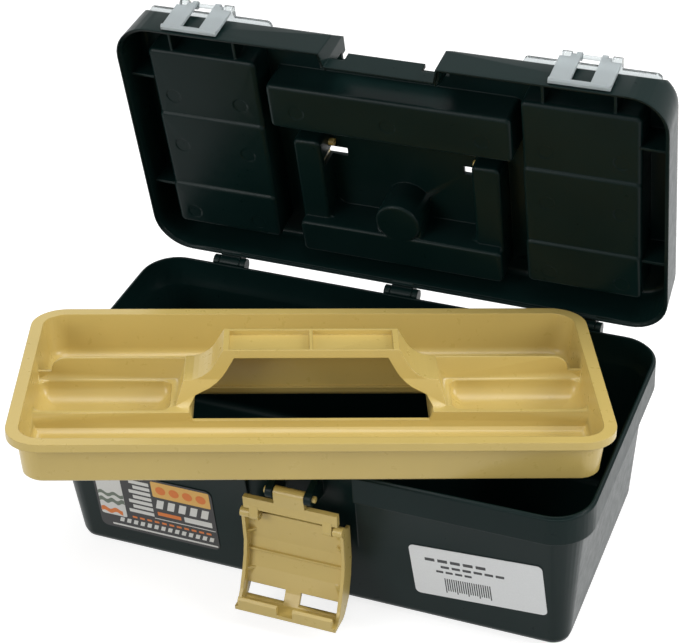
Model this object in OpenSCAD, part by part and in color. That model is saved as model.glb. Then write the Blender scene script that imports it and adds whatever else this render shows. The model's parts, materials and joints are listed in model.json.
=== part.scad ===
// Small tackle box with organiser lid, lift-out tray and drop-down latch.
// Origin: centre of the underside of the tub. X runs along the box, Y to its hinges, Z up.
// Shown as it stands when unpacked: lid open, tray laid across the rim, latch hanging.

/* [Tub] */
// Length over the rim
body_w = 315; // [270:5:400]
// Depth over the rim
body_d = 162; // [150:2:200]
// Height of the tub from table to rim
body_h = 100; // [88:1:130]
// Corner radius at the rim, seen from above
corner_r = 22; // [14:1:30]
// Wall of the tub and of the lid
wall = 2.2; // [1.8:0.1:2.8]
// Thickness of the tub floor
floor_t = 2.4; // [1.6:0.2:4]
// Height of the stiffening band below the rim
skirt_h = 16.5; // [13:0.5:22]
// How far the band stands out from the body below it
skirt_out = 5; // [4.6:0.2:6]
// How far each wall leans in between band and floor
body_lean = 7.2; // [3:0.2:10]
// Radius round the foot
foot_r = 6; // [3:0.5:9]
// Height of the locating bead on the rim
bead_h = 1.2; // [0.8:0.1:2]

/* [Lid] */
// Height of the lid over its rim
lid_h = 31; // [29:0.5:40]
// Angle at which the lid stands open
lid_open = 81; // [60:1:88]
// Height of the compartment lids' seat over the rim
deck_h = 27.2; // [26:0.1:33]
// Height of the lowest compartment floor over the rim
pan_h = 4; // [3:0.5:8]
// Depth of the notch for the latch, in lid and rim
notch_in = 8.5; // [7:0.5:9]
// Half width of the notch for the latch
notch_w = 31; // [30.5:0.5:34]
// Height of the catch wall in the notch over the rim
catch_h = 15; // [14:0.5:17]

/* [Hinges] */
// Distance of the hinge pins behind the rim
hinge_back = 4.7; // [4.5:0.1:6]
// Distance of the hinge pins below the rim
hinge_drop = 1.2; // [0.5:0.1:2]
// Distance of the outer hinges and of the clips from the ends of the box
hinge_edge = 47.5; // [45:0.5:50]
// Width of a hinge strap
strap_w = 13; // [10:0.5:13]
// Radius of the hinge pins
hinge_pin_r = 2; // [1.6:0.1:2.2]

/* [Tray] */
// Depth of the lift-out tray under its rim
tray_h = 26; // [20:1:36]
// Wall of the tray
tray_wall = 1.8; // [1.4:0.1:2.4]
// Width of the rolled rim of the tray
tray_rim = 5; // [4.6:0.1:6]
// Depth of the front divider and of the small compartments' edge below the tray rim
divider_drop = 13.3; // [12:0.1:14.5]
// Half width of the middle lane of the tray
lane_half = 17.5; // [16.5:0.5:19]
// Height of the tray's arched handle over its rim
arch_h = 15.9; // [14:0.1:17]
// Depth of the arched handle, from the rear divider to its front edge
grip_depth = 24.3; // [21:0.1:26]

/* [Latch] */
// Half width of the latch plate
plate_half = 29.3; // [28:0.1:30]
// Length from the plate's pivot to its tip
plate_len = 54.5; // [52:0.5:56]
// Distance between the two pivots of the latch link
link_len = 18.5; // [17:0.5:20]
// Radius of the latch pivots
latch_pin_r = 1.9; // [1.6:0.1:2.1]

/* [Clear covers and clips] */
// Thickness of the clear compartment covers
cover_t = 2; // [1.6:0.1:2.4]
// Width of a clip
clip_w = 33; // [28:1:36]
// Radius of the pins of covers and clips
clip_pin_r = 1.2; // [1:0.1:1.4]

/* [Carrying handle] */
// Half length of the grip
grip_half = 58; // [52:1:60]
// Reach from the pivots to the middle of the grip
grip_reach = 58; // [54:1:60]
// Width of an arm of the carrying handle
arm_w = 10; // [8:0.5:11]
// Height of the carrying handle's section
arm_h = 12; // [9:0.5:13]

/* [Labels] */
// Length of the printed label
label_left_w = 74; // [60:1:80]
// Height of the printed label
label_left_h = 46; // [36:1:50]
// Length of the white label
label_right_w = 73.5; // [60:0.5:80]
// Height of the white label
label_right_h = 36.5; // [28:0.5:42]

/* [Clearances] */
// Radial clearance of a pin in its eye
pin_gap = 0.05; // [0.03:0.01:0.08]
// Gap between faces that pass each other
face_gap = 0.3; // [0.25:0.05:0.4]
// Gap between the tray rim and the tub wall
tray_gap = 0.8; // [0.5:0.1:1.2]

/* [Hidden] */

$fn = 48;
corner_n = 9;                            // facets on each corner of a large shell
small_n = 3;                             // facets on each corner of a compartment
eps = 0.01;

dark = [0.09, 0.12, 0.115];
tan_plastic = [0.80, 0.70, 0.45];
clear_plastic = [0.86, 0.88, 0.88, 0.55];
paper = [0.93, 0.93, 0.92];

hinge_x = body_w / 2 - hinge_edge;
clip_x = hinge_x;
hinge_y = body_d / 2 + hinge_back;
hinge_z = body_h - hinge_drop;
ledge_z = body_h - skirt_h + wall;       // top of the ledge that the tray sits on
top_z = body_h + lid_h;
deck_z = body_h + deck_h;
front_y = -body_d / 2;

// ---------- drafted shells ----------

// One corner arc of a rounded rectangle, with n facets
function corner_arc(cx, cy, r, a0, n) =
    [for (i = [0 : n]) [cx + r * cos(a0 + 90 * i / n), cy + r * sin(a0 + 90 * i / n)]];

// Outline of a rounded rectangle w by d, centred on c
function rounded(w, d, r, c, n) =
    concat(corner_arc(c.x + w / 2 - r, c.y + d / 2 - r, r, 0, n),
           corner_arc(c.x - w / 2 + r, c.y + d / 2 - r, r, 90, n),
           corner_arc(c.x - w / 2 + r, c.y - d / 2 + r, r, 180, n),
           corner_arc(c.x + w / 2 - r, c.y - d / 2 + r, r, 270, n));

// Solid through rounded rectangles; steps holds [height, inset] pairs from the bottom up
module shell(w, d, r, steps, c = [0, 0], r_min = 1, n = corner_n) {
    count = 4 * (n + 1);
    m = len(steps);
    points = [for (s = steps)
                 for (p = rounded(w - 2 * s[1], d - 2 * s[1], max(r - s[1], r_min), c, n))
                     [p.x, p.y, s[0]]];
    bottom = [[for (i = [0 : count - 1]) i]];
    top = [[for (i = [count - 1 : -1 : 0]) (m - 1) * count + i]];
    sides = [for (k = [0 : m - 2])
                for (i = [0 : count - 1])
                    let (a = k * count + i, b = k * count + (i + 1) % count)
                        for (t = [0, 1])
                            t == 0 ? [a, a + count, b] : [b, a + count, b + count]];
    polyhedron(points = points, faces = concat(bottom, sides, top), convexity = 4);
}

// Steps of a quarter-round edge of radius r that ends at height z, bending inwards
function round_up(z, r, inset = 0, n = 3) =
    [for (i = [0 : n]) let (a = 90 * i / n) [z - r + r * sin(a), inset + r * (1 - cos(a))]];
function round_down(z, r, inset = 0, n = 3) =
    [for (i = [0 : n]) let (a = 90 - 90 * i / n) [z + r - r * sin(a), inset + r * (1 - cos(a))]];

// Rounded rectangle as an exact outline
module plate_outline(w, d, r) {
    square([w - 2 * r, d], center = true);
    square([w, d - 2 * r], center = true);
    for (x = [-1, 1], y = [-1, 1])
        translate([x * (w / 2 - r), y * (d / 2 - r)])
            circle(r);
}

// Extrudes an outline drawn in Y and Z along X, from x0 to x1
module along_x(x0, x1) {
    translate([x0, 0, 0])
        rotate([90, 0, 90])
            linear_extrude(x1 - x0)
                children();
}

// Cylinder along X
module bar_x(x0, x1, r, y, z) {
    translate([x0, y, z])
        rotate([0, 90, 0])
            cylinder(h = x1 - x0, r = r);
}

// Mirrors its children to both sides of the box
module both_sides() {
    children();
    mirror([1, 0, 0])
        children();
}

// ---------- rim, shared by tub and lid ----------

// Latch notch in the rim, grown by g
module notch_outline(g = 0) {
    mouth = notch_w + 2;
    polygon([[-mouth - g, front_y - 5], [mouth + g, front_y - 5], [mouth + g, front_y],
             [notch_w + g, front_y + notch_in + g], [-notch_w - g, front_y + notch_in + g],
             [-mouth - g, front_y]]);
}

// Outline of the rim, inset by i
module rim_outline(i = 0) {
    difference() {
        plate_outline(body_w - 2 * i, body_d - 2 * i, corner_r - i);
        notch_outline(i);
    }
}

// ---------- tub ----------

body_in = skirt_out + body_lean;         // inset of the body at the floor
skirt_z = body_h - skirt_h;

// Inset of the leaning body wall at height z
function lean_at(z) = skirt_out + body_lean * (1 - z / skirt_z);

module tub_body() {
    steps = [for (s = round_down(0, foot_r)) [s[0], lean_at(s[0]) + s[1]]];
    shell(body_w, body_d, corner_r,
          concat(steps, [[skirt_z + wall, lean_at(skirt_z)]]), r_min = 4);
}

module tub_cavity() {
    steps = [for (s = round_down(floor_t, foot_r - wall / 2)) [s[0], lean_at(s[0]) + wall + s[1]]];
    shell(body_w, body_d, corner_r,
          concat(steps, [[ledge_z + 1, lean_at(skirt_z) + wall]]), r_min = 3);
}

latch_y = front_y - 5.5;                 // pivot between tub and link
latch_z = body_h - 15;
lug_r = 4;
lug_in = 9;                              // inner face of the latch lugs
lug_t = 4;

module latch_lugs() {
    both_sides()
        along_x(lug_in, lug_in + lug_t)
            difference() {
                union() {
                    translate([latch_y, latch_z])
                        circle(lug_r);
                    polygon([[latch_y - 1, latch_z + lug_r], [front_y + notch_in + 1, latch_z + lug_r + 3],
                             [front_y + notch_in + 1, latch_z - lug_r - 4], [latch_y, latch_z - lug_r]]);
                }
                translate([latch_y, latch_z])
                    circle(latch_pin_r + pin_gap);
            }
}

hinge_lug_r = 4;
hinge_lug_t = 3.5;

module tub_hinge(x) {
    far = strap_w / 2 + face_gap + hinge_lug_t;
    for (side = [-1, 1])
        along_x(x + side * (far - hinge_lug_t / 2) - hinge_lug_t / 2,
                x + side * (far - hinge_lug_t / 2) + hinge_lug_t / 2) {
            translate([hinge_y, hinge_z])
                circle(hinge_lug_r);
            polygon([[body_d / 2 - 1, hinge_z], [hinge_y, hinge_z], [hinge_y + hinge_lug_r, hinge_z],
                     [hinge_y, hinge_z - hinge_lug_r - 5], [body_d / 2 - 1, hinge_z - 12]]);
        }
    bar_x(x - far, x + far, hinge_pin_r, hinge_y, hinge_z);
}

module base_tub() {
    color(dark) {
        difference() {
            union() {
                tub_body();
                translate([0, 0, skirt_z])
                    linear_extrude(skirt_h)
                        plate_outline(body_w, body_d, corner_r);
                translate([0, 0, body_h - eps])
                    linear_extrude(bead_h + eps)
                        rim_outline(wall / 2);
            }
            translate([0, 0, skirt_z / 4])
                linear_extrude(body_h)
                    notch_outline(0);
            difference() {
                tub_cavity();
                translate([0, 0, skirt_z / 4])
                    linear_extrude(body_h)
                        notch_outline(wall);
            }
            translate([0, 0, ledge_z])
                linear_extrude(body_h)
                    rim_outline(wall);
        }
        latch_lugs();
        for (x = [-hinge_x, 0, hinge_x])
            tub_hinge(x);
    }
}

// ---------- lid ----------

// Turns what is drawn on the closed box to where it stands with the lid open
module with_lid() {
    translate([0, hinge_y, hinge_z])
        rotate([-lid_open, 0, 0])
            translate([0, -hinge_y, -hinge_z])
                children();
}

lid_lean = 1.4;                          // draft of the lid's sides
lid_edge_r = 5;
front_bevel = 12;

// Inner side of a clear cover's seat, and its outer side
cover_in = 72;
cover_out = body_w / 2 - 10.5;

// Compartments: [y from, y to, height of floor]; each block runs on under the deeper ones behind
row_x = [cover_in + 4, body_w / 2 - 16];
rows = [[-62.5, -18.5, 3], [-19.5, 32.5, 1.5], [31.5, 62.5, 0]];
rows_end = rows[2][1];
trough = [-50.5, -21];
trough_half = 70.8;
trough_floor = body_h + pan_h + 1;
block_r = 3;

module block(x0, x1, y0, y1, z) {
    shell(x1 - x0, y1 - y0, block_r, concat(round_down(z, 2.4), [[deck_z - 1, 0]]),
          [(x0 + x1) / 2, (y0 + y1) / 2], r_min = 0.6, n = small_n);
}

module pocket(x0, x1, y0, y1, z) {
    shell(x1 - x0 - 2 * wall, y1 - y0 - 2 * wall, block_r, concat(round_down(z + wall, 2), [[deck_z + 5, 0]]),
          [(x0 + x1) / 2, (y0 + y1) / 2], r_min = 1, n = small_n);
}

// Round marks of the moulding tool on the compartment floors: [x, y, height of face]
mark_r = 4.5;
mark_t = 0.3;
row_marks = [for (x = [row_x[0] + 13, row_x[1] - 11], m = [[-31, 3], [3.5, 1.5], [53, 0]])
                [x, m[0], body_h + pan_h + m[1]]];
trough_marks = [for (x = [-54, 0, 54]) [x, -33.5, trough_floor]];

module mark(m) {
    translate([m.x, m.y, m.z - 1])
        cylinder(h = 1 + mark_t, r = mark_r, $fn = 24);
}

// Recess of the carrying handle
pivot_y = -1;
pivot_z = top_z - 1.6 - arm_h / 2;
arm_x = grip_half - arm_w;               // inner side of an arm
handle_pin_r = 2.2;
pivot_out = 3;                           // how far a pivot pin passes through the recess wall
slot_in = arm_x - 1;
slot_out = grip_half + 1;
slot_front = pivot_y - arm_h / 2 - 1.2;
grip_w = 14;
grip_y = pivot_y + grip_reach;
slot_back = grip_y + grip_w / 2 + 1.4;
bar_front = grip_y - grip_w / 2 - 2.2;
well_y = 35.8;
well_r = 13.3;

module bar_outline(grow) {
    translate([-slot_out - grow, bar_front - grow])
        square([2 * slot_out + 2 * grow, slot_back - bar_front + 2 * grow]);
}

module arm_outline(grow) {
    for (side = [-1, 1])
        translate([side < 0 ? -slot_out - grow : slot_in - grow, slot_front - grow])
            square([slot_out - slot_in + 2 * grow, slot_back - slot_front + 2 * grow]);
}

module well_outline(r) {
    translate([0, well_y])
        circle(r);
    translate([-r, well_y])
        square([2 * r, bar_front - well_y + 4]);
}

// Rounded block round one arm of the carrying handle
module arm_block() {
    shell(slot_out - slot_in + 2 * wall, slot_back - slot_front + 2 * wall, block_r,
          concat(round_down(arm_floor, 2), [[top_z, 0]]),
          [(slot_in + slot_out) / 2, (slot_front + slot_back) / 2], r_min = 0.6, n = small_n);
}

module bar_block() {
    shell(2 * (slot_out + wall), slot_back - bar_front + 2 * wall, block_r,
          concat(round_down(bar_floor, 2), [[top_z, 0]]), [0, (slot_back + bar_front) / 2],
          r_min = 0.6, n = small_n);
}

// Fillet between an arm's block and the block across the grip
module elbow() {
    translate([slot_in - wall, bar_front - wall])
        difference() {
            translate([-elbow_r, -elbow_r])
                square(elbow_r + 0.5);
            translate([-elbow_r, -elbow_r])
                circle(elbow_r);
        }
}

module finger_well() {
    translate([0, well_y, bar_floor])
        rotate_extrude()
            difference() {
                square([well_r, top_z - bar_floor]);
                difference() {
                    translate([well_r - 2, 0])
                        square(2);
                    translate([well_r - 2, 2])
                        circle(2);
                }
            }
    slab(bar_floor + 2, top_z)
        well_outline(well_r);
}

module slab(z0, z1) {
    translate([0, 0, z0])
        linear_extrude(z1 - z0)
            children();
}

arm_floor = body_h + 9.5;
bar_floor = body_h + 3;
elbow_r = 4;
panel_margin = 15;                       // from the sunk panel to front and rear of the lid

module lid_outer() {
    shell(body_w, body_d, corner_r,
          concat([[body_h + face_gap, 0], [top_z - lid_edge_r - 4, lid_lean]],
                 round_up(top_z, lid_edge_r, lid_lean + 0.3)));
}

module lid_inner() {
    shell(body_w, body_d, corner_r,
          concat([[body_h - 1, wall], [deck_z - wall - 3, wall + lid_lean]],
                 round_up(deck_z - wall, 3, wall + lid_lean + 0.2)));
}

// Post on the rear wall that carries a clear cover
cover_axis_y = body_d / 2 + 2.6;
cover_axis_z = body_h + 24;
cover_posts = [cover_out - 56, cover_out - 19];
post_w = 6;
eye_w = 3.4;
eye_r = 2.8;

module cover_post(x) {
    along_x(x - post_w / 2, x + post_w / 2) {
        translate([cover_axis_y, cover_axis_z])
            circle(clip_pin_r + 1);
        polygon([[body_d / 2 - 3, cover_axis_z - 6], [body_d / 2 - 3, cover_axis_z + 1],
                 [cover_axis_y, cover_axis_z + 2.2], [cover_axis_y + 2.2, cover_axis_z],
                 [cover_axis_y, cover_axis_z - 2.2]]);
    }
    bar_x(x - post_w / 2 - face_gap - eye_w, x + post_w / 2 + face_gap + eye_w, clip_pin_r,
          cover_axis_y, cover_axis_z);
}

// Strap that carries the lid on a hinge pin
strap_r = 3.8;

module lid_strap(x) {
    along_x(x - strap_w / 2, x + strap_w / 2)
        difference() {
            union() {
                translate([hinge_y, hinge_z])
                    circle(strap_r);
                polygon([[body_d / 2 - 2, body_h + 1.6], [hinge_y - 3.4, hinge_z + 1.6],
                         [hinge_y + strap_r, hinge_z], [hinge_y + strap_r, hinge_z + 3],
                         [body_d / 2 + 1, body_h + 17], [body_d / 2 - 2, body_h + 17]]);
            }
            translate([hinge_y, hinge_z])
                circle(hinge_pin_r + pin_gap);
        }
}

// Thin webs between the compartment blocks and the lid's walls
web_t = 1.6;
side_webs = [-43, 36];
front_webs = [row_x[0] + 12, row_x[1] - 14.5];

module lid_webs() {
    for (y = side_webs)
        slab(body_h + 7, deck_z)
            translate([row_x[1] - 1, y - web_t / 2])
                square([body_w / 2 - wall - row_x[1] + 1, web_t]);
    for (x = front_webs)
        slab(body_h + 9, deck_z)
            translate([x - web_t / 2, front_y + wall / 2])
                square([web_t, rows[0][0] - front_y]);
    // gusset behind each end of the catch wall
    along_x(notch_w - 1, notch_w + 0.8)
        polygon([[front_y + notch_in + 1, body_h + 2], [catch_back + 1.5, body_h + 2],
                 [catch_back + 6, body_h + catch_h - 2], [catch_back + 6, deck_z],
                 [front_y + notch_in + 1, deck_z]]);
}

catch_back = front_y + notch_in + wall;  // rear face of the catch wall
hook_room = 22.5;                        // depth of the opening that takes the hooks
shoulder_h = 8.5;                        // height of the low ends of the catch wall
shoulder_w = 9;

module lid_solids() {
    difference() {
        lid_outer();
        lid_inner();
    }
    intersection() {
        lid_outer();
        union() {
            both_sides() {
                for (row = rows)
                    block(row_x[0], row_x[1], row[0], rows_end, body_h + pan_h + row[2]);
                arm_block();
                slab(arm_floor + 1.5, deck_z)
                    elbow();
                lid_webs();
            }
            block(-trough_half, trough_half, trough[0], trough[1], trough_floor);
            bar_block();
            finger_well();
            slab(deck_z - wall, top_z)
                translate([-cover_in, front_y])
                    square([2 * cover_in, body_d]);
            // wall of the latch notch
            slab(body_h + face_gap, top_z)
                notch_outline(wall);
        }
    }
}

module lid_cuts() {
    // room for the bead on the rim
    slab(body_h - 1, body_h + bead_h + 2 * face_gap)
        rim_outline(wall / 2 - face_gap);
    // latch notch, with the catch wall left standing
    slab(body_h - 1, top_z + 1)
        notch_outline(0);
    slab(body_h + catch_h, top_z + 1)
        translate([-notch_w, front_y])
            square([2 * notch_w, hook_room]);
    both_sides()
        slab(body_h + shoulder_h, top_z + 1)
            translate([notch_w - shoulder_w, front_y])
                square([shoulder_w, hook_room]);
    // opening behind the catch wall, for the hooks
    slab(body_h - 1, top_z + 1)
        translate([-notch_w, catch_back])
            square([2 * notch_w, front_y + hook_room - catch_back]);
    // compartments
    both_sides() {
        for (row = rows)
            pocket(row_x[0], row_x[1], row[0], row[1], body_h + pan_h + row[2]);
        for (m = row_marks)
            mark(m);
    }
    pocket(-trough_half, trough_half, trough[0], trough[1], trough_floor);
    for (m = trough_marks)
        mark(m);
    // seats of the clear covers
    both_sides()
        slab(deck_z, top_z + 1)
            translate([cover_in, front_y - 1])
                square([cover_out - cover_in, body_d + 2]);
    // handle recess
    slab(arm_floor + wall, top_z + 1)
        arm_outline(0);
    slab(bar_floor + wall, top_z + 1) {
        bar_outline(0);
        well_outline(well_r - wall);
    }
    // bores for the handle's pivots, and openings beside them
    both_sides() {
        bar_x(slot_in - wall - pivot_out - 0.5, slot_in + 1, handle_pin_r + pin_gap, pivot_y, pivot_z);
        translate([slot_in - 12, pivot_y + 4.5, deck_z - 14])
            cube([12.5, 5.5, 16]);
    }
    // sunk panel round the handle
    slab(deck_z, top_z + 1)
        translate([0, 4.5])
            plate_outline(2 * cover_in - 8, body_d - 2 * panel_margin, 5);
    // bevel over the front wall
    along_x(-body_w, body_w)
        polygon([[front_y - 2, body_h + 18], [front_y - 2, top_z + 2], [front_y + 14, top_z + 2],
                 [front_y + 10, top_z], [front_y + 0.4, body_h + 18]]);
}

module lid_shell() {
    color(dark)
        with_lid() {
            difference() {
                lid_solids();
                lid_cuts();
            }
            for (x = [-hinge_x, 0, hinge_x])
                lid_strap(x);
            both_sides()
                for (x = cover_posts)
                    cover_post(x);
            // low bumps that the clips snap on
            both_sides()
                along_x(clip_x - 3, clip_x + 3)
                    polygon([[front_y + 1, body_h + 6], [front_y - 0.35, body_h + 6.4],
                             [front_y - 0.35, body_h + 7.4], [front_y + 1, body_h + 11]]);
        }
}

// ---------- carrying handle ----------

module carry_handle() {
    color(tan_plastic)
        with_lid() {
            both_sides() {
                along_x(arm_x, grip_half) {
                    translate([pivot_y, pivot_z])
                        circle(arm_h / 2);
                    translate([pivot_y, pivot_z - arm_h / 2])
                        square([grip_reach, arm_h]);
                }
                bar_x(slot_in - wall - pivot_out, arm_x + 1, handle_pin_r, pivot_y, pivot_z);
            }
            difference() {
                along_x(-grip_half, grip_half)
                    translate([grip_y, pivot_z])
                        plate_outline(grip_w, arm_h, 3.5);
                // hollow underside of the grip
                along_x(-grip_half + arm_w, grip_half - arm_w)
                    translate([grip_y - grip_w / 2 + 2.4, pivot_z - arm_h / 2 - 1])
                        square([grip_w - 4.8, arm_h - 1.6]);
            }
        }
}

// ---------- clear covers and clips ----------

clip_axis_y = front_y - 0.2;
clip_axis_z = deck_z + face_gap + 0.2;
clip_knuckle_r = 2.3;
clip_face = front_y - 0.75;              // inner face of a clip
clip_t = 1.6;

module cover(side) {
    cover_z = deck_z + face_gap;
    w = cover_out - cover_in - 2 * face_gap;
    mid = (cover_out + cover_in) / 2;
    rear = body_d / 2 - 3;
    front = front_y + 5;
    mirror([side < 0 ? 1 : 0, 0, 0])
        with_lid() {
            difference() {
                union() {
                    translate([mid, (rear + front) / 2, cover_z])
                        linear_extrude(cover_t)
                            plate_outline(w, rear - front, 3);
                    translate([mid, (rear + front) / 2 - 1, cover_z])
                        linear_extrude(cover_t + 0.9)
                            plate_outline(w - 12, rear - front - 14, 6);
                }
                translate([mid, (rear + front) / 2 - 1, cover_z - 1])
                    linear_extrude(1.9)
                        plate_outline(w - 16, rear - front - 18, 4);
            }
            // eyes on the rear pins
            for (x = cover_posts, s = [-1, 1])
                translate([s * (post_w / 2 + face_gap + eye_w / 2) + x, 0, 0])
                    along_x(-eye_w / 2, eye_w / 2)
                        difference() {
                            union() {
                                translate([cover_axis_y, cover_axis_z])
                                    circle(eye_r);
                                polygon([[cover_axis_y - 1.2, cover_axis_z + 1], [cover_axis_y + eye_r, cover_axis_z],
                                         [cover_axis_y + eye_r, cover_z + cover_t - 2],
                                         [cover_axis_y + eye_r - 2, cover_z + cover_t],
                                         [rear - 1, cover_z + cover_t], [rear - 1, cover_z],
                                         [cover_axis_y - 1.2, cover_z]]);
                            }
                            translate([cover_axis_y, cover_axis_z])
                                circle(clip_pin_r + pin_gap);
                        }
            // knuckles and pin that carry the clip
            for (s = [-1, 1])
                translate([clip_x + s * (clip_w / 2 - 3), 0, 0])
                    along_x(-2.5, 2.5) {
                        translate([clip_axis_y, clip_axis_z])
                            circle(clip_knuckle_r);
                        polygon([[clip_axis_y, clip_axis_z + clip_knuckle_r], [front + 1, cover_z + cover_t],
                                 [front + 1, cover_z], [clip_axis_y, clip_axis_z - clip_knuckle_r]]);
                    }
            bar_x(clip_x - clip_w / 2 + 3, clip_x + clip_w / 2 - 3, clip_pin_r, clip_axis_y, clip_axis_z);
        }
}

module cover_left() {
    color(clear_plastic)
        cover(-1);
}

module cover_right() {
    color(clear_plastic)
        cover(1);
}

clip_window = [7, 15];

module clip(side) {
    eye_half = clip_w / 2 - 5.5 - face_gap;
    mirror([side < 0 ? 1 : 0, 0, 0])
        with_lid()
            difference() {
                union() {
                    along_x(clip_x - eye_half, clip_x + eye_half) {
                        translate([clip_axis_y, clip_axis_z])
                            circle(clip_knuckle_r);
                        polygon([[clip_face - clip_t, body_h + 12], [clip_face, body_h + 12],
                                 [clip_face, clip_axis_z], [clip_axis_y - clip_knuckle_r, clip_axis_z],
                                 [clip_face - clip_t, clip_axis_z - 2]]);
                    }
                    along_x(clip_x - clip_w / 2, clip_x + clip_w / 2)
                        polygon([[clip_face - clip_t, body_h + 5], [clip_face - clip_t - 1, body_h + 3.6],
                                 [clip_face - clip_t - 1, body_h + 2.4], [clip_face - clip_t, body_h + 1.6],
                                 [clip_face, body_h + 1.6],
                                 [clip_face, clip_axis_z - 4], [clip_face - clip_t, clip_axis_z - 4]]);
                }
                translate([clip_x - clip_window.x / 2, clip_face - 4, body_h + 5])
                    cube([clip_window.x, 8, clip_window.y]);
                bar_x(clip_x - clip_w, clip_x + clip_w, clip_pin_r + pin_gap, clip_axis_y, clip_axis_z);
            }
}

module clip_left() {
    color(clear_plastic)
        clip(-1);
}

module clip_right() {
    color(clear_plastic)
        clip(1);
}

// ---------- lift-out tray ----------

tray_w = body_w - 2 * (wall + tray_gap);
tray_d = body_d - notch_in - 2 * wall - tray_gap - 0.3;
tray_r = corner_r - wall - tray_gap;
tray_lip = 4.5;
tray_lean = 2.5;
hollow_half = 63;                        // half width of the hand hole
hollow_top = 62.3;                       // half width of the lowered walls along it
lowered = 18;                            // depth of these walls below the tray rim
lane_in = 74;                            // inner end of the short compartments
lane_r = 5;                              // round between the floor and the walls of a lane
lane_draft = 0.6;                        // lean of a lane's walls at their foot
tray_in = tray_rim - 0.3;
lane_y = lane_half + tray_wall;          // where the long lanes begin
tray_floor = tray_wall - tray_h;
ledge_y = lane_half - 1.2;               // front of the ledge below the rear divider
divider_top = 0.8;                       // depth of the rear divider's edge below the rim
divider_end = 8;                         // round that ends its edge at each side

// Pose of the tray across the rim
tray_pos = [-5.57, front_y + 44.04, body_h + 28.31];
tray_turn = [-8, 3.8, 23.4];

module with_tray() {
    translate(tray_pos)
        rotate([0, 0, tray_turn.z])
            rotate([tray_turn.x, 0, 0])
                rotate([0, tray_turn.y, 0])
                    children();
}

// Inner faces of the tray's outer walls
module tray_inside() {
    shell(tray_w, tray_d, tray_r,
          concat(round_down(tray_floor, lane_r, tray_in + tray_wall + tray_lean),
                 [[2, tray_in + tray_wall - 0.2]]));
}

// Long lane between two walls, round along both
module lane(y0, y1) {
    shell(tray_w, y1 - y0, 3, concat(round_down(tray_floor, lane_r, lane_draft), [[2, -0.4]]),
          [0, (y0 + y1) / 2], n = small_n);
}

// Draws its children in X and Z and extrudes them from y0 to y1
module across(y0, y1) {
    translate([0, y1, 0])
        rotate([90, 0, 0])
            linear_extrude(y1 - y0)
                children();
}

// Hand hole in Y and Z, wider below, where it follows the round floors of the lanes
module hole_profile() {
    r = lane_r + tray_wall;
    arc = [for (a = [0 : 15 : 90]) [lane_y + lane_r - r * cos(a), tray_floor + lane_r - r * sin(a)]];
    polygon(concat([[-lane_half, 0], [-lane_half, arc[0].y]], [for (p = arc) [-p.x, p.y]],
                   [[-lane_y, -tray_h - 1], [lane_y, -tray_h - 1]],
                   [for (i = [len(arc) - 1 : -1 : 0]) arc[i]],
                   [[ledge_y, arc[0].y], [ledge_y, 0]]));
}

module tray_body() {
    wide = tray_w / 2;
    cup_out = wide - tray_in - tray_wall - 1.2;
    difference() {
        union() {
            shell(tray_w, tray_d, tray_r,
                  [[-tray_h, tray_in + tray_lean + 1.2], [-tray_h + 1.2, tray_in + tray_lean], [0, tray_in]]);
            // rolled rim
            translate([0, 0, -tray_wall])
                linear_extrude(tray_wall)
                    plate_outline(tray_w, tray_d, tray_r);
            translate([0, 0, -tray_lip])
                linear_extrude(tray_lip)
                    difference() {
                        plate_outline(tray_w, tray_d, tray_r);
                        plate_outline(tray_w - 2 * tray_wall, tray_d - 2 * tray_wall, tray_r - tray_wall);
                    }
        }
        intersection() {
            tray_inside();
            union() {
                lane(lane_y, tray_d / 2 + 6);
                lane(-tray_d / 2 - 6, -lane_y);
                // between the dividers, and over the front one
                along_x(-wide, wide)
                    translate([-lane_y - lane_draft, -divider_drop])
                        square([lane_y + lane_draft + lane_half, divider_drop + 2]);
                // upper edge of the rear divider, lower towards both ends
                across(lane_half - 0.1, lane_y + lane_draft) {
                    translate([-wide, -divider_top])
                        square([tray_w, divider_top + 2]);
                    for (side = [-1, 1])
                        translate([side * (wide - 15), 0])
                            difference() {
                                translate([side < 0 ? -20 : -divider_end, -divider_top - divider_end])
                                    square([20 + divider_end, divider_end + 3]);
                                translate([-side * divider_end, -divider_top - divider_end])
                                    circle(divider_end);
                            }
                }
            }
        }
        // short compartments, rounded like a spoon
        both_sides()
            shell(cup_out - lane_in, lane_half + ledge_y, 6,
                  concat(round_down(tray_floor, 9.5, 0.5, 5), [[0, 0]]),
                  [(cup_out + lane_in) / 2, (ledge_y - lane_half) / 2], n = small_n);
        // lowered walls along the hand hole, with slanted ends
        across(-lane_y - lane_draft, lane_half)
            polygon([[-hollow_top - 2, 1 - divider_drop], [-hollow_top - 2, -divider_drop],
                     [-hollow_top, -lowered], [hollow_top, -lowered],
                     [hollow_top + 2, -divider_drop], [hollow_top + 2, 1 - divider_drop]]);
        // hand hole
        along_x(-hollow_half, hollow_half)
            hole_profile();
        // hollow foot of each shoulder
        both_sides()
            translate([hollow_half + 2 * tray_wall, -lane_half + tray_wall, -tray_h - 1])
                cube([lane_in - hollow_half - 3 * tray_wall, ledge_y + lane_half - 2 * tray_wall,
                      tray_h + 1 - divider_drop - tray_wall]);
    }
}

// The arched handle is a strap: straight on top, with round legs that end in the shoulders
arch_half = 46.4;                        // half length of its upper edge
leg_slope = 60;
leg_r = 16.6;
leg_band = 7.3;                          // width of a leg's front face
leg_z = leg_r - 0.4;                     // centre of a leg's round
leg_x = arch_half + (arch_h - leg_z + leg_r * cos(leg_slope)) / tan(leg_slope) + leg_r * sin(leg_slope);
grip_t = 4.4;                            // height of the grip's front face
grip_floor = 1.4;
strap_t = 1.7;

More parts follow.
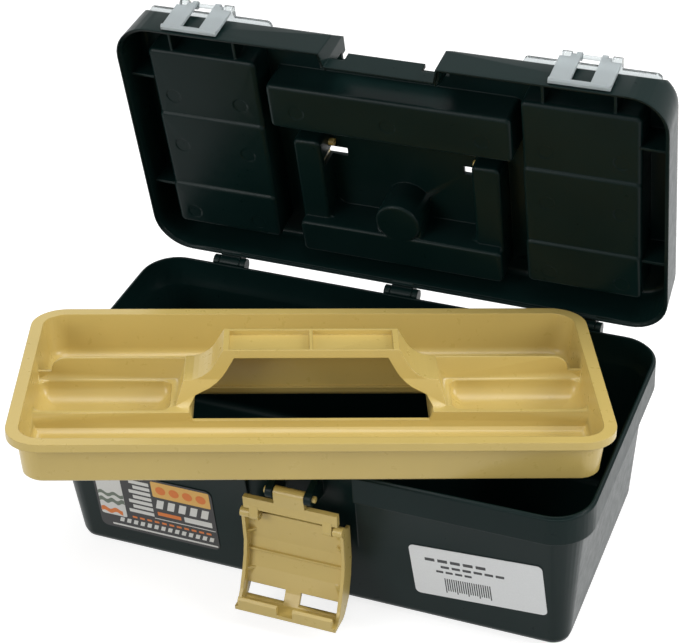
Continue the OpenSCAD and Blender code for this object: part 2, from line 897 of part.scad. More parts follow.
// Right half of the strap's outline, sunk by t below its outer face, from height h to the leg's end
function strap_side(t, h, a_end) =
    let (r = leg_r + t)
    concat([[leg_x - r * sin(leg_slope) - (h - leg_z + r * cos(leg_slope)) / tan(leg_slope), h]],
           [for (a = [leg_slope : -10 : a_end]) [leg_x - r * sin(a), leg_z - r * cos(a)]]);

// Whole outline from its right half
module mirrored(half) {
    polygon(concat(half, [for (i = [len(half) - 1 : -1 : 0]) [-half[i].x, half[i].y]]));
}

// Side view of the strap in Y and Z, inset by s: its front face slopes, the rear one is upright
module strap_profile(s) {
    rear = lane_y - s;
    polygon([[lane_y - grip_depth + s, arch_h + 1], [lane_y - grip_depth - 2.6 + s, 0],
             [-12.5 + s, -divider_drop], [-12.5 + s, -divider_drop - 1],
             [rear, -divider_drop - 1], [rear, arch_h + 1]]);
}

module arch_handle() {
    foot = -divider_drop - 1;
    toe = leg_x + 6;
    difference() {
        intersection() {
            across(-lane_half, lane_y + 1)
                mirrored(concat(strap_side(0, arch_h, 0), [[leg_x + 1.9, leg_z - leg_r],
                                [toe, -divider_drop], [toe, foot]]));
            along_x(-toe, toe)
                strap_profile(0);
        }
        // opening under the grip
        across(-lane_y, lane_y + 2)
            mirrored(concat(strap_side(leg_band, arch_h - grip_t, 20),
                            [[hollow_half - 2, -8], [hollow_half + 1.4, foot], [hollow_half + 1.4, foot - 2]]));
        // hollow legs
        intersection() {
            across(-lane_half, lane_y + 1)
                mirrored(concat(strap_side(strap_t, arch_h - grip_t, 0),
                                [[leg_x + 1, leg_z - leg_r - strap_t], [toe - strap_t - 0.2, -divider_drop]]));
            along_x(-toe, toe)
                strap_profile(strap_t);
        }
        // channel along the top of the grip, with one cross rib
        both_sides()
            translate([strap_t / 2, lane_y - grip_depth - 0.6 + strap_t, arch_h - grip_t + grip_floor])
                cube([arch_half - strap_t - 2.2, grip_depth + 0.6 - 2 * strap_t, grip_t]);
    }
}

module lift_out_tray() {
    color(tan_plastic)
        with_tray() {
            tray_body();
            arch_handle();
        }
}

// ---------- latch ----------

plate_y = latch_y - 0.5;                 // pivot between link and plate
plate_z = latch_z - link_len;
claw_x = [18.5, 23.5];
cheek_t = 2;
link_half = plate_half - cheek_t - 0.4;
knuckle_r = 3.3;

module latch_link() {
    color(tan_plastic) {
        bar_x(-lug_in - lug_t - 1.5, lug_in + lug_t + 1.5, latch_pin_r, latch_y, latch_z);
        along_x(-lug_in + face_gap, lug_in - face_gap) {
            translate([latch_y, latch_z])
                circle(knuckle_r);
            polygon([[latch_y - knuckle_r, latch_z], [latch_y + 1, latch_z],
                     [latch_y + 0.5, latch_z - 8], [latch_y - 2.6, latch_z - 8]]);
        }
        along_x(-link_half, link_half)
            polygon([[latch_y + 0.5, latch_z - 6.5], [latch_y + 0.5, plate_z + 4.6],
                     [latch_y - 2.6, plate_z + 4.6], [latch_y - 2.6, latch_z - 6.5]]);
        both_sides()
            along_x(claw_x[0], claw_x[1])
                difference() {
                    union() {
                        translate([plate_y, plate_z])
                            circle(knuckle_r);
                        polygon([[plate_y - knuckle_r, plate_z + 0.5], [plate_y + knuckle_r, plate_z + 0.5],
                                 [latch_y + 0.5, plate_z + 7], [latch_y - 2.6, plate_z + 7]]);
                    }
                    translate([plate_y, plate_z])
                        circle(latch_pin_r + pin_gap);
                }
    }
}

tip_z = plate_z - plate_len;
skin_t = 2.2;
plate_k = plate_len / 54.5;              // scales the side view of the plate
hook_y = plate_y - 19.5 * plate_k;       // front of the hooks
window_top = 9.5;                        // height of the windows' upper edge over the tip

// Front edge of the cheeks, from the top down
cheek_front = [[-0.9, -2], [-1, -19.5], [-3, -28.5], [-6.3, -36.5], [-11.3, -46.5], [-16.5, -53.5]] * plate_k;
// Back edge of the cheeks, from the top down
cheek_back = [[8.8, -2], [8.6, -24], [6, -35], [1.5, -46.5], [-5, -53]] * plate_k;

function at_pivot(list) = [for (p = list) [plate_y + p.x, plate_z + p.y]];
function back(list, d) = [for (p = list) [p.x + d, p.y]];
function reversed(list) = [for (i = [len(list) - 1 : -1 : 0]) list[i]];

// Three-cornered stiffener between skin and cheek, at depth z below the pivot
module plate_gusset(z, y) {
    translate([0, 0, plate_z - z * plate_k])
        linear_extrude(1.4)
            polygon([[plate_half - 1, plate_y + y * plate_k], [plate_half - 7, plate_y + y * plate_k],
                     [plate_half - 1, plate_y + (y - 5) * plate_k]]);
}

module latch_plate() {
    color(tan_plastic) {
        difference() {
            union() {
                // skin
                along_x(-plate_half, plate_half)
                    polygon(concat(at_pivot(back(cheek_front, 4.5)),
                                   reversed(at_pivot(back(cheek_front, 4.5 + skin_t)))));
                // cheeks
                both_sides()
                    along_x(plate_half - cheek_t, plate_half)
                        polygon(concat(at_pivot(cheek_front), [[hook_y, tip_z], [hook_y + 11.5, tip_z]],
                                       reversed(at_pivot(cheek_back))));
                // end wall
                along_x(-plate_half, plate_half)
                    translate([hook_y, tip_z])
                        square([11.5, 2.4]);
                // hooks
                both_sides()
                    along_x(4.5, plate_half - cheek_t + 0.1)
                        polygon([[hook_y, tip_z], [hook_y + 2.3, tip_z], [hook_y + 2.3, tip_z + 7],
                                 [hook_y + 1.5, tip_z + 8.4], [hook_y, tip_z + 7]]);
                // cross rib
                along_x(-plate_half, plate_half)
                    translate([plate_y + 0.5, plate_z - 27.4 * plate_k])
                        square([3.5, 1.4]);
                both_sides() {
                    plate_gusset(15, 4);
                    plate_gusset(38, -1.5);
                    // ears and pins
                    along_x(claw_x[1] + face_gap, plate_half) {
                        translate([plate_y, plate_z])
                            circle(latch_pin_r + 1);
                        polygon([for (p = [[-2, 0], [3.8, 0], [6, -1.5], [6, -9], [3.2, -9], [2.8, -3.6], [0, -2.8]])
                                    [plate_y + p.x, plate_z + p.y]]);
                    }
                    bar_x(claw_x[0] - 0.5, plate_half - 0.5, latch_pin_r, plate_y, plate_z);
                }
            }
            // windows behind the hooks
            both_sides()
                translate([4.5, hook_y + 5.5, tip_z + 3])
                    cube([plate_half - cheek_t - 0.6 - 4.5, 20, window_top - 3]);
        }
    }
}

// ---------- labels ----------

label_t = 0.3;
label_left_x = label_left_w / 2 + 29.5 - body_w / 2;
label_right_x = body_w / 2 - label_right_w / 2 - 22.75;
label_left_z = 16 + label_left_h / 2;
label_right_z = 22.75 + label_right_h / 2;
front_tilt = atan(body_lean / skirt_z);

// Lays its children, drawn in X and height, on the leaning front wall
module on_front() {
    translate([0, front_y + lean_at(0) - 0.05, 0])
        rotate([90 + front_tilt, 0, 0])
            linear_extrude(label_t)
                children();
}

module label_left() {
    color(paper)
        on_front()
            translate([label_left_x, label_left_z])
                plate_outline(label_left_w, label_left_h, 4);
}

module label_right() {
    color(paper)
        on_front()
            translate([label_right_x, label_right_z])
                rotate(3.9)
                    plate_outline(label_right_w, label_right_h, 3);
}

base_tub();
lid_shell();
lift_out_tray();
latch_link();
latch_plate();
carry_handle();
cover_left();
cover_right();
clip_left();
clip_right();
label_left();
label_right();
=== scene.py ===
import json
import math

import bmesh
import bpy
from bpy.props import FloatProperty, FloatVectorProperty, PointerProperty
from mathutils import Matrix, Vector


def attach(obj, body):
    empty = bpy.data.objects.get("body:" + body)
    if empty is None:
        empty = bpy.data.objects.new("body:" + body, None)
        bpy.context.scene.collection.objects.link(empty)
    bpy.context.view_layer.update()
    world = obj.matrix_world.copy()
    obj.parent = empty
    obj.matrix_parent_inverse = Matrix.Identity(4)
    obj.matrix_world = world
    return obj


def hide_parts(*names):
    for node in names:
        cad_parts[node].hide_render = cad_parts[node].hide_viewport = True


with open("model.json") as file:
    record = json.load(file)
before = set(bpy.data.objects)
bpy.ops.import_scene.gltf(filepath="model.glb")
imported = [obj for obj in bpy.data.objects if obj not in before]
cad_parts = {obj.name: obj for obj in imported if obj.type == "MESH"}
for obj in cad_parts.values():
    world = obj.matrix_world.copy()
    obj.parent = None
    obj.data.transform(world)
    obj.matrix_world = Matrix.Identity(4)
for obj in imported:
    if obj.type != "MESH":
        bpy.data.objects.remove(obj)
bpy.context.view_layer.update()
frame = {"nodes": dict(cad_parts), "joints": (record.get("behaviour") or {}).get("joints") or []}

bl_info = {
    "name": "Tackle box looks",
    "version": (1, 0, 0),
    "blender": (4, 5, 0),
    "location": "3D View > Sidebar > Tackle box",
    "description": "Mouldings, finishes, label prints and studio of a small tackle box",
    "category": "Object",
}

MM = 0.001
MERGE = 0.002 * MM                       # corners of a CAD mesh nearer than this are one
NODES = frame["nodes"]
JOINTS = {joint["name"]: joint for joint in frame["joints"]}


# ---------- small helpers ----------

def hex_rgb(code):
    """sRGB hex, such as "d2b679", as three linear numbers."""
    srgb = [int(code[i:i + 2], 16) / 255 for i in (0, 2, 4)]
    return tuple(c / 12.92 if c <= 0.04045 else ((c + 0.055) / 1.055) ** 2.4 for c in srgb)


def rgba(rgb):
    """A colour with full opacity."""
    return (*rgb, 1.0)


def shade(rgb, k):
    """A colour k times as bright."""
    return tuple(min(1.0, c * k) for c in rgb)


def colour(name, description, code):
    """A colour setting with its default given as sRGB hex."""
    return FloatVectorProperty(name=name, description=description, subtype="COLOR", size=3,
                               min=0, max=1, default=hex_rgb(code))


def length(name, description, mm):
    """A length setting with its default given in millimetres."""
    return FloatProperty(name=name, description=description, subtype="DISTANCE",
                         unit="LENGTH", min=0, default=mm * MM, precision=5)


def add_node(tree, kind, settings=None, **links):
    """Adds a node; settings set its properties, links its inputs, by a value or another socket."""
    node = tree.nodes.new(kind)
    for key, value in (settings or {}).items():
        setattr(node, key, value)
    for key, value in links.items():
        # i2 is input number 2, Base_Color is the input named Base Color
        numbered = key[0] == "i" and key[1:].isdigit()
        socket = node.inputs[int(key[1:]) if numbered else key.replace("_", " ")]
        if isinstance(value, bpy.types.NodeSocket):
            tree.links.new(value, socket)
        else:
            socket.default_value = value
    return node


def new_material(name):
    """A node material with only an output node."""
    material = bpy.data.materials.new(name)
    material.use_nodes = True
    material.node_tree.nodes.clear()
    return material, material.node_tree, material.node_tree.nodes.new("ShaderNodeOutputMaterial")


def select_alone(piece):
    """Makes a piece the only selected object and the active one."""
    bpy.ops.object.select_all(action="DESELECT")
    piece.select_set(True)
    bpy.context.view_layer.objects.active = piece


def new_piece(name, data):
    """An object for a mesh or curve, linked to the scene and alone selected."""
    piece = bpy.data.objects.new(name, data)
    bpy.context.scene.collection.objects.link(piece)
    select_alone(piece)
    return piece


def apply_modifier(piece, kind, settings):
    """Gives the active piece a modifier with its settings and applies it."""
    bpy.ops.object.modifier_add(type=kind)
    modifier = piece.modifiers[-1]
    for key, value in settings.items():
        setattr(modifier, key, value)
    bpy.context.view_layer.update()
    bpy.ops.object.modifier_apply(modifier=modifier.name)


def finish_piece(piece, body, material):
    """Gives a piece its one material and its body."""
    piece.data.materials.clear()
    piece.data.materials.append(material)
    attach(piece, body)


def cut_box(piece, middle, size, turn):
    """Cuts a box, turned about X, out of a piece."""
    bpy.ops.object.select_all(action="DESELECT")
    bpy.ops.mesh.primitive_cube_add(size=1, location=middle, rotation=(turn, 0, 0))
    cutter = bpy.context.object
    cutter.scale = size
    select_alone(piece)
    apply_modifier(piece, "BOOLEAN", {"object": cutter})
    bpy.data.objects.remove(cutter)


def moulding(node, name, body, material, smooth_angle, cuts=()):
    """A merged copy of a CAD node, with finer cuts where it has them, shaded smooth over its
    rounds and flat over its faces, which stands for the node."""
    piece = new_piece(name, NODES[node].data.copy())
    piece.data.name = name
    bpy.ops.object.mode_set(mode="EDIT")
    bpy.ops.mesh.select_all(action="SELECT")
    bpy.ops.mesh.remove_doubles(threshold=MERGE)
    bpy.ops.object.mode_set(mode="OBJECT")
    for cut in cuts:
        cut_box(piece, *cut)
    bpy.ops.object.shade_smooth_by_angle(angle=smooth_angle)
    apply_modifier(piece, "WEIGHTED_NORMAL", {"keep_sharp": True})
    finish_piece(piece, body, material)
    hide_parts(node)


# ---------- finishes ----------

def moulded_polypropylene(name, rgb, roughness, gloss, grain_mm, edge_mm, variation, top_sheen=0.0):
    """Injection-moulded polypropylene: waxy satin skin with a fine spark-eroded grain, and the
    soft edges that a mould leaves. The eye sees broad dull highlights and light rounded edges."""
    material, tree, out = new_material(name)
    where = add_node(tree, "ShaderNodeTexCoord").outputs["Object"]
    # broad cloudiness of the pigment, about 40 mm across
    cloud = add_node(tree, "ShaderNodeTexNoise", Vector=where, Scale=1 / (40 * MM), Detail=3.0)
    tone = add_node(tree, "ShaderNodeMapRange", i0=cloud.outputs["Fac"], i1=0.3, i2=0.7,
                    i3=1 - variation, i4=1 + variation)
    base = add_node(tree, "ShaderNodeMix", {"data_type": "RGBA", "blend_type": "MULTIPLY"}, i0=1.0,
                    i6=rgba(rgb), i7=tone.outputs["Result"])
    colour_out = base.outputs[2]
    # patches of scuffing, about 6 mm across
    scuff = add_node(tree, "ShaderNodeTexNoise", Vector=where, Scale=1 / (6 * MM), Detail=6.0,
                     Roughness=0.65)
    rough = add_node(tree, "ShaderNodeMapRange", i0=scuff.outputs["Fac"], i1=0.3, i2=0.75,
                     i3=roughness - 0.04, i4=roughness + 0.06)
    # spark-eroded grain, drawn coarser than the real 0.1 mm so that it shows
    grain = add_node(tree, "ShaderNodeTexNoise", Vector=where, Scale=1 / (grain_mm * MM),
                     Detail=2.0)
    soft = add_node(tree, "ShaderNodeBevel", {"samples": 6}, Radius=edge_mm * MM)
    bump = add_node(tree, "ShaderNodeBump", Strength=0.1, Distance=0.05 * MM,
                    Height=grain.outputs["Fac"], Normal=soft.outputs["Normal"])
    if top_sheen:
        # painted sheen: what faces up is mixed a little towards a three times lighter copy of the
        # colour, in patches, for the light from above
        facing = add_node(tree, "ShaderNodeNewGeometry")
        up = add_node(tree, "ShaderNodeSeparateXYZ", Vector=facing.outputs["Normal"])
        lying = add_node(tree, "ShaderNodeMapRange", i0=up.outputs["Z"], i1=0.6, i2=1.0, i3=0.0,
                         i4=top_sheen)
        sheen_amount = add_node(tree, "ShaderNodeMath", {"operation": "MULTIPLY"},
                          i0=lying.outputs["Result"], i1=scuff.outputs["Fac"])
        painted_sheen = add_node(tree, "ShaderNodeMix", {"data_type": "RGBA"}, i0=sheen_amount.outputs["Value"],
                         i6=colour_out, i7=rgba(shade(rgb, 3.0)))
        colour_out = painted_sheen.outputs[2]
    skin = add_node(tree, "ShaderNodeBsdfPrincipled", Base_Color=colour_out,
                    Roughness=rough.outputs["Result"], Normal=bump.outputs["Normal"], IOR=1.49)
    skin.inputs["Specular IOR Level"].default_value = gloss
    tree.links.new(skin.outputs["BSDF"], out.inputs["Surface"])
    return material


def clear_polypropylene(name, rgb, roughness, clarity):
    """Unpigmented polypropylene: clear but milky, frosted where it is thick, with bright edges."""
    material, tree, out = new_material(name)
    where = add_node(tree, "ShaderNodeTexCoord").outputs["Object"]
    # flow marks, about 5 mm across
    flow = add_node(tree, "ShaderNodeTexNoise", Vector=where, Scale=1 / (5 * MM), Detail=3.0)
    haze = add_node(tree, "ShaderNodeMapRange", i0=flow.outputs["Fac"], i1=0.3, i2=0.7,
                    i3=roughness - 0.05, i4=roughness + 0.05)
    soft = add_node(tree, "ShaderNodeBevel", {"samples": 4}, Radius=0.5 * MM)
    bump = add_node(tree, "ShaderNodeBump", Strength=0.03, Distance=0.05 * MM,
                    Height=flow.outputs["Fac"], Normal=soft.outputs["Normal"])
    skin = add_node(tree, "ShaderNodeBsdfPrincipled", Base_Color=rgba(rgb),
                    Roughness=haze.outputs["Result"], Normal=bump.outputs["Normal"], IOR=1.3)
    skin.inputs["Transmission Weight"].default_value = clarity
    tree.links.new(skin.outputs["BSDF"], out.inputs["Surface"])
    return material


def coated_paper(name, rgb, roughness, mottle):
    """Coated label paper: flat colour on smooth stock, with the faint mottle of its fibres."""
    material, tree, out = new_material(name)
    where = add_node(tree, "ShaderNodeTexCoord").outputs["Object"]
    # fibres about 0.8 mm long
    fibre = add_node(tree, "ShaderNodeTexNoise", Vector=where, Scale=1 / (0.8 * MM), Detail=4.0)
    tone = add_node(tree, "ShaderNodeMapRange", i0=fibre.outputs["Fac"], i1=0.3, i2=0.7,
                    i3=1 - mottle, i4=1.0)
    base = add_node(tree, "ShaderNodeMix", {"data_type": "RGBA", "blend_type": "MULTIPLY"}, i0=1.0,
                    i6=rgba(rgb), i7=tone.outputs["Result"])
    bump = add_node(tree, "ShaderNodeBump", Strength=0.08, Distance=0.03 * MM,
                    Height=fibre.outputs["Fac"])
    skin = add_node(tree, "ShaderNodeBsdfPrincipled", Base_Color=base.outputs[2],
                    Roughness=roughness, Normal=bump.outputs["Normal"])
    tree.links.new(skin.outputs["BSDF"], out.inputs["Surface"])
    return material


# ---------- settings ----------

class TackleBoxColours(bpy.types.PropertyGroup):
    body: colour("Tub and lid", "Very dark green pigment of tub and lid", "0a1c1b")
    sand: colour("Tray and latch", "Sand yellow pigment of tray, latch and handle", "c7af66")
    clear: colour("Covers", "Tint of the clear covers", "dbe1e2")
    milky: colour("Clips", "Tint of the milky clips", "bcc4c6")
    paper: colour("White label", "Stock of the white label", "e4e6e6")
    black: colour("Black ground", "Ground of the left label", "08090a")
    white: colour("White ink", "White print on the left label", "d8d8d4")
    amber: colour("Amber ink", "Amber block on the left label", "dfae57")
    orange: colour("Orange ink", "Orange print on the left label", "d9741f")
    green: colour("Green ink", "Grey-green waves on the left label", "5f6b5c")
    ink: colour("Black ink", "Print on the white label", "202224")


class TackleBoxSizes(bpy.types.PropertyGroup):
    smooth_angle: FloatProperty(name="Smoothing angle", subtype="ANGLE", unit="ROTATION",
                                description="Edges flatter than this are shaded smooth",
                                min=0, max=math.pi, default=math.radians(20))
    ink_height: length("Print height", "How far one printed layer stands off what it lies on", 0.04)


# ---------- mouldings ----------

class MouldTubAndLid(bpy.types.Operator):
    """Makes tub and lid in dark satin polypropylene"""
    bl_idname = "tacklebox.mould_tub_and_lid"
    bl_label = "Mould tub and lid"

    def execute(self, context):
        tint, sizes = context.scene.tacklebox_colours, context.scene.tacklebox_sizes
        # the top sheen below is a painted sheen: a lighter copy of the green on what faces up
        dark = moulded_polypropylene("satin_polypropylene_dark_green", tint.body, roughness=0.31,
                                     gloss=0.11, grain_mm=0.7, edge_mm=1.2, variation=0.10,
                                     top_sheen=0.05)
        moulding("base_tub", "tub_moulding", "tub", dark, sizes.smooth_angle)
        moulding("lid_shell", "lid_moulding", "lid", dark, sizes.smooth_angle)
        return {"FINISHED"}


class MouldSandParts(bpy.types.Operator):
    """Makes tray, latch and carrying handle in sand-coloured polypropylene"""
    bl_idname = "tacklebox.mould_sand_parts"
    bl_label = "Mould tray, latch and handle"

    def execute(self, context):
        tint, sizes = context.scene.tacklebox_colours, context.scene.tacklebox_sizes
        sand = moulded_polypropylene("satin_polypropylene_sand", tint.sand, roughness=0.3,
                                     gloss=0.5, grain_mm=0.8, edge_mm=0.6, variation=0.03)
        for node, name, body in (("lift_out_tray", "tray_moulding", "tray"),
                                 ("latch_link", "link_moulding", "latch_link"),
                                 ("latch_plate", "plate_moulding", "latch_plate"),
                                 ("carry_handle", "handle_moulding", "handle")):
            moulding(node, name, body, sand, sizes.smooth_angle)
        return {"FINISHED"}


def clip_cuts(side):
    """Boxes that widen a clip's window and leave its eyes as claws on the pin."""
    pin = Vector(JOINTS[f"clip_{side}_hinge"]["pos_m"])
    turn = -math.radians(JOINTS["lid_hinge"]["range_deg"][1])
    # lowest and highest corners in mm, from the middle of the pin, with the lid shut
    corners = [((-5.4, -5, -22.7), (5.4, 5, 5)), ((8.2, -5, -1.2), (11.2, 5, 5)),
               ((-11.2, -5, -1.2), (-8.2, 5, 5))]
    for low, high in corners:
        low, high = Vector(low) * MM, Vector(high) * MM
        yield pin + Matrix.Rotation(turn, 3, "X") @ ((low + high) / 2), high - low, turn


class MouldCovers(bpy.types.Operator):
    """Makes the compartment covers and their clips in clear, milky polypropylene"""
    bl_idname = "tacklebox.mould_covers"
    bl_label = "Mould covers and clips"

    def execute(self, context):
        tint, sizes = context.scene.tacklebox_colours, context.scene.tacklebox_sizes
        clear = clear_polypropylene("clear_polypropylene_glossy", tint.clear, roughness=0.15,
                                    clarity=0.9)
        milky = clear_polypropylene("clear_polypropylene_milky", tint.milky, roughness=0.35,
                                    clarity=0.45)
        for side, body in (("left", "l"), ("right", "r")):
            moulding(f"cover_{side}", f"cover_{side}_moulding", f"cover_{body}",
                     clear, sizes.smooth_angle)
            moulding(f"clip_{side}", f"clip_{side}_moulding", f"clip_{body}",
                     milky, sizes.smooth_angle, clip_cuts(side))
        return {"FINISHED"}


# ---------- label prints ----------

def on_circle(u, v, r, degrees):
    """Point of a circle round u, v, in mm."""
    return u + r * math.cos(math.radians(degrees)), v + r * math.sin(math.radians(degrees))


def bar(u0, v0, u1, v1, r=0.3):
    """Outline of an upright bar with small round corners, in mm."""
    corners = ((u1 - r, v1 - r, 0), (u0 + r, v1 - r, 90), (u0 + r, v0 + r, 180),
               (u1 - r, v0 + r, 270))
    return [on_circle(u, v, r, start + step) for u, v, start in corners for step in (0, 30, 60, 90)]


def disc(u, v, r, corners=28):
    """Outline of a disc, in mm."""
    return [on_circle(u, v, r, 360 * i / corners) for i in range(corners)]


def wave(u0, u1, v, thick, rise, pitch, steps=40):
    """Outline of a wavy band from u0 to u1 at height v, in mm."""
    us = [u0 + (u1 - u0) * i / steps for i in range(steps + 1)]
    top = [(u, v + thick / 2 + rise * math.sin(math.tau * (u - u0) / pitch)) for u in us]
    return top + [(u, y - thick) for u, y in reversed(top)]


def tooth(u, v, wide, high):
    """Outline of a leaning tooth, in mm."""
    return [(u, v), (u + wide * 0.7, v), (u + wide, v + high), (u + wide * 0.3, v + high)]


def label_plane(node):
    """Matrix of a label's front face: origin in its middle, X along its length, Z out of it."""
    mesh = bmesh.new()
    mesh.from_mesh(NODES[node].data)
    bmesh.ops.remove_doubles(mesh, verts=mesh.verts, dist=MERGE)
    mesh.normal_update()
    front = {face for face in mesh.faces if face.normal.y < -0.9}
    area = sum(face.calc_area() for face in front)
    middle = sum((face.calc_center_median() * face.calc_area() for face in front), Vector()) / area
    out = sum((face.normal * face.calc_area() for face in front), Vector()).normalized()
    rim = [edge for edge in mesh.edges if sum(face in front for face in edge.link_faces) == 1]
    longest = max(rim, key=lambda edge: edge.calc_length())
    along = (longest.verts[1].co - longest.verts[0].co).normalized()
    if along.x < 0:
        along = -along
    mesh.free()
    return Matrix.Translation(middle) @ Matrix((along, out.cross(along), out)).transposed().to_4x4()


def print_shapes(name, outlines, node, layer, material, ink_height):
    """Flat printed shapes on a label: layer 1 lies on the paper, layer 2 on layer 1."""
    curve = bpy.data.curves.new(name, "CURVE")
    curve.dimensions = "2D"
    curve.fill_mode = "BOTH"
    curve.extrude = ink_height / 2
    for outline in outlines:
        spline = curve.splines.new("POLY")
        spline.points.add(len(outline) - 1)
        for point, (u, v) in zip(spline.points, outline):
            point.co = (u * MM, v * MM, 0, 1)
        spline.use_cyclic_u = True
    piece = new_piece(name, curve)
    bpy.ops.object.convert(target="MESH")
    piece = bpy.context.object
    piece.data.name = name
    # the first layer is sunk into the paper by a tenth of its height
    raised = Matrix.Translation((0, 0, (layer - 0.6) * ink_height))
    piece.data.transform(label_plane(node) @ raised)
    bpy.ops.object.mode_set(mode="EDIT")
    bpy.ops.mesh.select_all(action="SELECT")
    bpy.ops.mesh.remove_doubles(threshold=MERGE)
    bpy.ops.mesh.normals_make_consistent(inside=False)
    bpy.ops.object.mode_set(mode="OBJECT")
    finish_piece(piece, "tub", material)


class PrintLabels(bpy.types.Operator):
    """Gives both labels their paper and their printed shapes: waves, bars and teeth on the black
    one, a scale and ruled lines on the white one"""
    bl_idname = "tacklebox.print_labels"
    bl_label = "Print labels"

    def execute(self, context):
        tint, sizes = context.scene.tacklebox_colours, context.scene.tacklebox_sizes
        for node, name, rgb, roughness, mottle in (
                ("label_left", "coated_paper_black", tint.black, 0.35, 0.2),
                ("label_right", "coated_paper_white", tint.paper, 0.5, 0.05)):
            NODES[node].data.materials.clear()
            NODES[node].data.materials.append(coated_paper(name, rgb, roughness, mottle))

        stripes = [bar(-17 + (2.5 if i % 2 else 0) + 0.5 * i, -7 + 3.9 * i, -1.5, -4.4 + 3.9 * i)
                   for i in range(7)]
        white = [bar(-35.5, -13, -19.5, 21.5, 1.2), *stripes,
                 *[tooth(0.5 + 6.9 * i, 0.6, 6.0, 6.8) for i in range(5)],
                 bar(17.5, -5.6, 34.5, -1.6), bar(-1.5, -8.3, 36, -7.7, 0.2),
                 *[tooth(-25 + 4.3 * i, -17.2, 3.6, 3.4) for i in range(14)],
                 bar(-30, -20.9, 36, -19.6, 0.5)]
        amber = [bar(0, 9.5, 35.5, 21.5, 0.8)]
        orange = [*[disc(5.5 + 8.2 * i, 15.3, 3.1) for i in range(4)],
                  wave(-35.4, -22, -9.6, 3.4, 0.9, 7.5)]
        dashes = [bar(1, -5.0, 15.5, -2.2), *[bar(-16 + 4.6 * i, -11.9, -13 + 4.6 * i, -10.4)
                                             for i in range(11)]]
        green = [wave(-35.4, -19.6, 3.6, 2.6, 1.0, 8), wave(-35.4, -19.6, -1.8, 3.2, 0.9, 6.5)]
        for name, shapes, layer, ink in (("white", white, 1, tint.white),
                                         ("amber", amber, 1, tint.amber),
                                         ("orange", dashes, 1, tint.orange),
                                         ("orange_upper", orange, 2, tint.orange),
                                         ("green_upper", green, 2, tint.green)):
            material = coated_paper(f"offset_ink_{name}", ink, roughness=0.35, mottle=0.06)
            print_shapes(f"print_left_{name}", shapes, "label_left", layer,
                         material, sizes.ink_height)

        scale = [bar(-19 + 1.25 * i, -13 if i % 5 else -14.5, -18.35 + 1.25 * i, -3.5, 0.1)
                 for i in range(21)]
        lines = [bar(-28.5 + 7.1 * i, 8.2, -23 + 7.1 * i, 10.4) for i in range(5)]
        lines += [bar(-20 + 6.1 * i, 4.1, -15.3 + 6.1 * i, 5.9) for i in range(6)]
        lines += [bar(-23 + 5.3 * i, 0.3, -19 + 5.3 * i, 1.9) for i in range(4)]
        print_shapes("print_right_black", scale + lines, "label_right", 1,
                     coated_paper("offset_ink_black", tint.ink, roughness=0.4, mottle=0.15),
                     sizes.ink_height)
        return {"FINISHED"}


# ---------- stage ----------

FLOOR_Z = -0.5 * MM                      # just under the box, so that no faces share a plane
CAMERA_AT = Vector((0.337424, -0.776842, 0.740293))
CAMERA_RIGHT = Vector((0.92939, 0.36558, -0.05078))
CAMERA_UP = Vector((-0.17441, 0.55626, 0.81250))
CAMERA_LENS = 101.70                     # for a 36 mm sensor
CAMERA_SHIFT = (-0.0052, 0.0026)


def area_light(name, where, target, size, watts):
    """A soft box at a place, turned to a target."""
    data = bpy.data.lights.new(name, "AREA")
    data.shape = "RECTANGLE"
    data.size, data.size_y = size
    data.energy = watts
    light = bpy.data.objects.new(name, data)
    light.location = where
    light.rotation_euler = (Vector(target) - Vector(where)).to_track_quat("-Z", "Y").to_euler()
    bpy.context.scene.collection.objects.link(light)


def seen_rays(tree):
    """1 for what the camera sees directly, in gloss or through clear plastic, else 0."""
    ray = add_node(tree, "ShaderNodeLightPath")
    seen = ray.outputs["Is Camera Ray"]
    for name in ("Is Glossy Ray", "Is Transmission Ray"):
        seen = add_node(tree, "ShaderNodeMath", {"operation": "MAXIMUM"}, i0=seen,
                        i1=ray.outputs[name]).outputs["Value"]
    return seen


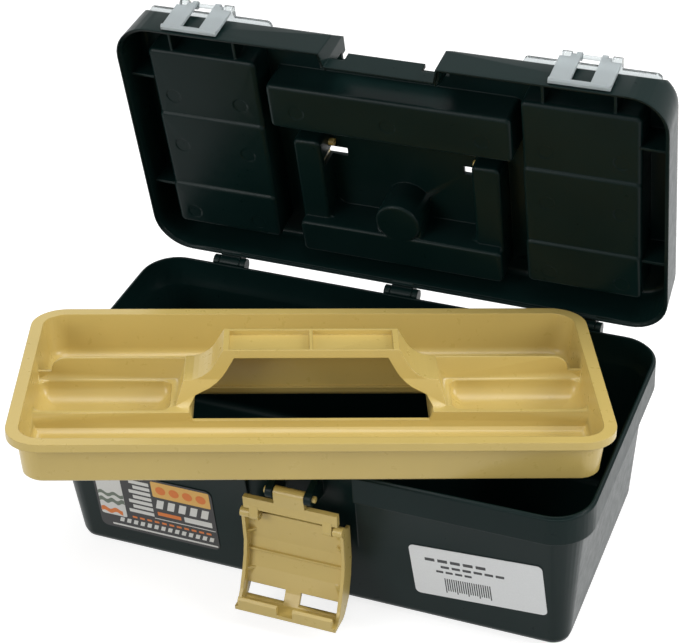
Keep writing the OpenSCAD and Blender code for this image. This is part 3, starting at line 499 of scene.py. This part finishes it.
class SetStage(bpy.types.Operator):
    """Sets up the pale floor, the soft studio light and the camera"""
    bl_idname = "tacklebox.set_stage"
    bl_label = "Set stage"

    def execute(self, context):
        scene = context.scene
        bpy.ops.object.select_all(action="DESELECT")
        bpy.ops.mesh.primitive_circle_add(vertices=64, radius=6, fill_type="NGON")
        floor = context.object
        floor.name = "studio_floor"
        floor.location.z = FLOOR_Z
        # matt paper sweep: seen as near white, with the box's soft shadow left on it
        material, tree, out = new_material("matt_studio_paper")
        paper = add_node(tree, "ShaderNodeBsdfDiffuse", Color=(0.5, 0.5, 0.5, 1))
        glow = add_node(tree, "ShaderNodeEmission", Color=(1, 1, 1, 1), Strength=0.77)
        both = add_node(tree, "ShaderNodeAddShader", i0=paper.outputs["BSDF"],
                        i1=glow.outputs["Emission"])
        pick = add_node(tree, "ShaderNodeMixShader", i0=seen_rays(tree), i1=paper.outputs["BSDF"],
                        i2=both.outputs["Shader"])
        tree.links.new(pick.outputs["Shader"], out.inputs["Surface"])
        floor.data.materials.append(material)

        world = bpy.data.worlds.new("soft_studio")
        scene.world = world
        world.use_nodes = True
        tree = world.node_tree
        tree.nodes.clear()
        white = add_node(tree, "ShaderNodeBackground", Color=(1, 1, 1, 1), Strength=1.0)
        grey = add_node(tree, "ShaderNodeBackground", Color=(1, 1, 1, 1), Strength=0.3)
        pick = add_node(tree, "ShaderNodeMixShader", i0=seen_rays(tree),
                        i1=grey.outputs["Background"], i2=white.outputs["Background"])
        out = add_node(tree, "ShaderNodeOutputWorld")
        tree.links.new(pick.outputs["Shader"], out.inputs["Surface"])

        area_light("key_box_left", (-0.9, -1.5, 0.9), (0, 0, 0.1), (1.0, 1.0), 15)
        area_light("side_box_right", (1.5, 0.1, 0.9), (0, 0, 0.1), (0.7, 1.0), 16)
        area_light("top_box", (0.1, 0.1, 1.5), (0, 0, 0.1), (1.1, 0.8), 11)

        data = bpy.data.cameras.new("photo_camera")
        data.lens = CAMERA_LENS
        data.sensor_width = 36
        data.sensor_fit = "HORIZONTAL"
        data.shift_x, data.shift_y = CAMERA_SHIFT
        data.clip_start, data.clip_end = 0.05, 50
        camera = bpy.data.objects.new("photo_camera", data)
        back = CAMERA_RIGHT.cross(CAMERA_UP)
        turn = Matrix((CAMERA_RIGHT, CAMERA_UP, back)).transposed().to_4x4()
        camera.matrix_world = Matrix.Translation(CAMERA_AT) @ turn
        scene.collection.objects.link(camera)
        scene.camera = camera
        scene.view_settings.view_transform = "Standard"
        return {"FINISHED"}


# ---------- panel and registering ----------

class TackleBoxPanel(bpy.types.Panel):
    """Lists the steps that make the box"""
    bl_idname = "VIEW3D_PT_tacklebox"
    bl_label = "Tackle box"
    bl_space_type = "VIEW_3D"
    bl_region_type = "UI"
    bl_category = "Tackle box"

    def draw(self, context):
        for step in STEPS:
            self.layout.operator(step.bl_idname)
        for group in (context.scene.tacklebox_colours, context.scene.tacklebox_sizes):
            for key in group.__annotations__:
                self.layout.prop(group, key)


STEPS = (MouldTubAndLid, MouldSandParts, MouldCovers, PrintLabels, SetStage)
CLASSES = (TackleBoxColours, TackleBoxSizes, *STEPS, TackleBoxPanel)


def register():
    for cls in CLASSES:
        bpy.utils.register_class(cls)
    bpy.types.Scene.tacklebox_colours = PointerProperty(type=TackleBoxColours)
    bpy.types.Scene.tacklebox_sizes = PointerProperty(type=TackleBoxSizes)


def unregister():
    del bpy.types.Scene.tacklebox_sizes
    del bpy.types.Scene.tacklebox_colours
    for cls in reversed(CLASSES):
        bpy.utils.unregister_class(cls)


def main():
    register()
    bpy.ops.tacklebox.mould_tub_and_lid()
    bpy.ops.tacklebox.mould_sand_parts()
    bpy.ops.tacklebox.mould_covers()
    bpy.ops.tacklebox.print_labels()
    bpy.ops.tacklebox.set_stage()


if __name__ == "__main__":
    main()
